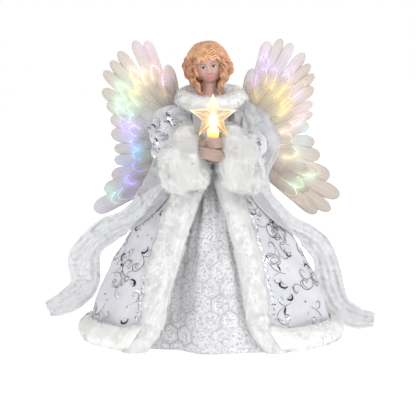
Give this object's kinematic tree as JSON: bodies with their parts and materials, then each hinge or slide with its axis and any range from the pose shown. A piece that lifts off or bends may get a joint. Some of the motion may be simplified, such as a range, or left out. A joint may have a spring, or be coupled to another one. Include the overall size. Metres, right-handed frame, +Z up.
{
  "type": "angel tree topper",
  "caption": "Angel figure tree topper: fur-trimmed coat over a brocade gown, folding feather wings lit by fibres, hands holding a lamp under a clear star, hollow cone with a tree socket.",
  "frame": {"origin": "on the base plane, under the middle of the object's box", "axes": "+X to the right as seen from the front, along the width; +Y towards the back, along the depth; +Z up"},
  "size_m": [0.336, 0.186, 0.3048],
  "materials": {
    "white_plastic": "moulded white plastic",
    "skin": "painted doll skin",
    "hair": "moulded strawberry-blond hair",
    "fur": "off-white fur pile",
    "gown": "white brocade with grey hexagons",
    "coat": "pale silver cloth with foil scrolls",
    "sheer": "sheer silver-white ribbon",
    "feather": "pale translucent film",
    "steel": "bright",
    "board": "green board",
    "dark_plastic": "black",
    "light_lens": "clear lens",
    "lamp": "amber",
    "bulb": "lit warm",
    "star": "clear facets",
    "fibre": "light fibres"
  },
  "bodies": {
    "figure": {"support_cone": "white_plastic", "tree_socket": "white_plastic", "floor_plate": "white_plastic", "torso_front": "white_plastic", "torso_back": "white_plastic", "lamp_board": "board", "power_inlet": "dark_plastic", "lamp_lead": "dark_plastic", "left_light": "light_lens", "right_light": "light_lens", "left_ferrule": "steel", "right_ferrule": "steel", "left_fibre_bundle": "fibre", "right_fibre_bundle": "fibre", "left_arm_wire": "steel", "right_arm_wire": "steel", "left_hand": "skin", "right_hand": "skin", "left_sleeve": "coat", "right_sleeve": "coat", "left_cuff": "fur", "right_cuff": "fur", "left_front_fur": "fur", "right_front_fur": "fur", "left_hinge_pin": "steel", "right_hinge_pin": "steel", "left_stole": "sheer", "right_stole": "sheer", "lamp_socket": "lamp", "head": "skin", "hair": "hair", "collar": "fur", "bodice": "coat", "gown": "gown", "coat": "coat", "hem_fur": "fur", "wing_bracket": "white_plastic", "lower_bracket_screw": "steel", "upper_bracket_screw": "steel"},
    "left_wing": {"left_wing_spine": "white_plastic", "left_long_feathers": "feather", "left_middle_feathers": "feather", "left_wing_strands": "fibre", "left_short_feathers": "feather"},
    "right_wing": {"right_wing_spine": "white_plastic", "right_long_feathers": "feather", "right_middle_feathers": "feather", "right_wing_strands": "fibre", "right_short_feathers": "feather"},
    "bulb": {"bulb_base": "lamp", "bulb_glass": "bulb"},
    "star": {"star": "star"}
  },
  "joints": [
    {"name": "left_wing_fold", "type": "hinge", "parent": "figure", "child": "left_wing", "pos_m": [-0.016, 0.0267, 0.2098], "axis": [0, 0, -1], "range_deg": [0, 70]},
    {"name": "right_wing_fold", "type": "hinge", "parent": "figure", "child": "right_wing", "pos_m": [0.016, 0.0267, 0.2098], "axis": [0, 0, 1], "range_deg": [0, 70]},
    {"name": "bulb_pull", "type": "slide", "parent": "figure", "child": "bulb", "axis": [0, 0, 1], "range_m": [0, 0.02]},
    {"name": "star_lift", "type": "slide", "parent": "bulb", "child": "star", "axis": [0, 0, 1], "range_m": [0, 0.03]}
  ]
}
